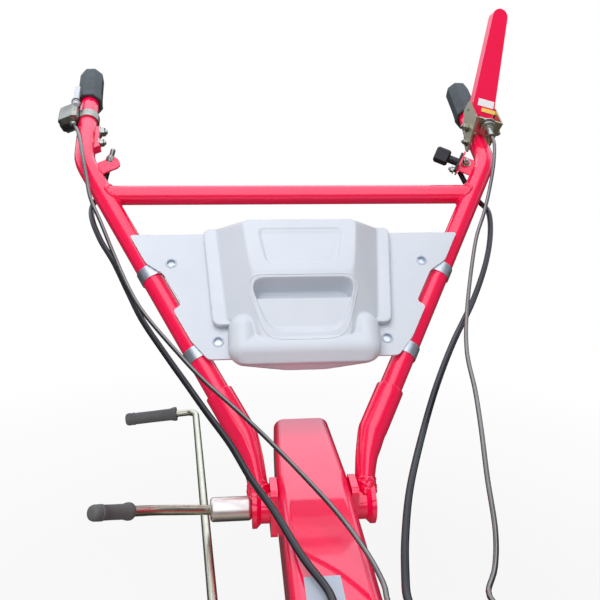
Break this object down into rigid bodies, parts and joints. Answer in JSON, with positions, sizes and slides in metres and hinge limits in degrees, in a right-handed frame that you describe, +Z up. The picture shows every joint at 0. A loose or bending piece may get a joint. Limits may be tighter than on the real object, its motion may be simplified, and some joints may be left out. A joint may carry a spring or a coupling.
{
  "type": "hand tractor handlebar assembly",
  "caption": "V-shaped handlebar assembly of a walk-behind tractor: box column, tilting tubes with crossbar and moulded console, clutch lever, clamp lever, shift rod and control cables.",
  "frame": {"origin": "king pin axis at the underside of the column's seat", "axes": "+X to the operator's left, +Y from the king pin to the operator, +Z up along the king pin"},
  "size_m": [0.8196, 1.0937, 0.7308],
  "materials": {
    "red_paint": "gloss",
    "grey_plastic": "satin",
    "black_rubber": "matt",
    "black_plastic": "satin",
    "zinc_steel": "zinc plated",
    "yellow_zinc": "yellow zinc plated",
    "chrome": "polished",
    "cable_sheath": "gloss"
  },
  "bodies": {
    "column": {"beam": "red_paint", "king_pin_hub": "red_paint", "king_pin_seat": "red_paint", "pivot_cheeks": "red_paint", "pivot_bolt": "zinc_steel", "rod_guide": "red_paint", "cable_stop": "zinc_steel", "cable_ends": "zinc_steel"},
    "handlebar": {"eye_left": "red_paint", "eye_right": "red_paint", "arm_left": "red_paint", "arm_right": "red_paint", "tube_left": "red_paint", "tube_right": "red_paint", "crossbar": "red_paint", "grip_left": "black_rubber", "grip_right": "black_rubber", "console_plate": "grey_plastic", "console_cover": "grey_plastic", "tube_clips": "zinc_steel", "throttle_housing": "zinc_steel", "throttle_lever": "grey_plastic", "brake_ferrule": "zinc_steel", "clutch_bracket": "yellow_zinc", "clutch_pin": "zinc_steel", "clutch_adjuster": "zinc_steel", "switch_bracket": "red_paint", "stop_switch": "black_plastic", "throttle_cable": "cable_sheath", "brake_cable": "cable_sheath", "wire_loom": "cable_sheath", "clutch_cable": "cable_sheath"},
    "clutch_lever": {"clutch_lever": "red_paint"},
    "clamp_lever": {"clamp_nut": "chrome", "clamp_handle": "zinc_steel", "clamp_knob": "black_rubber"},
    "shift_rod": {"shift_rod": "zinc_steel", "shift_knob": "black_rubber"}
  },
  "joints": [
    {"name": "handlebar_tilt", "type": "hinge", "parent": "column", "child": "handlebar", "pos_m": [0, 0.345, 0.052], "axis": [1, 0, 0], "range_deg": [-15, 20], "deforming": ["throttle_cable", "brake_cable", "wire_loom", "clutch_cable"]},
    {"name": "clutch_squeeze", "type": "hinge", "parent": "handlebar", "child": "clutch_lever", "pos_m": [0.35993, 0.83531, 0.54489], "axis": [-0.9681, -0.0956, 0.2315], "range_deg": [0, 30], "stiffness_Nm_per_rad": 4, "springref_deg": -11.46},
    {"name": "clamp_turn", "type": "hinge", "parent": "column", "child": "clamp_lever", "pos_m": [-0.09, 0.345, 0.052], "axis": [1, 0, 0], "range_deg": [-60, 90]},
    {"name": "shift_slide", "type": "slide", "parent": "column", "child": "shift_rod", "axis": [-0.0854, 0.9963, 0], "range_m": [-0.03, 0.03]}
  ]
}
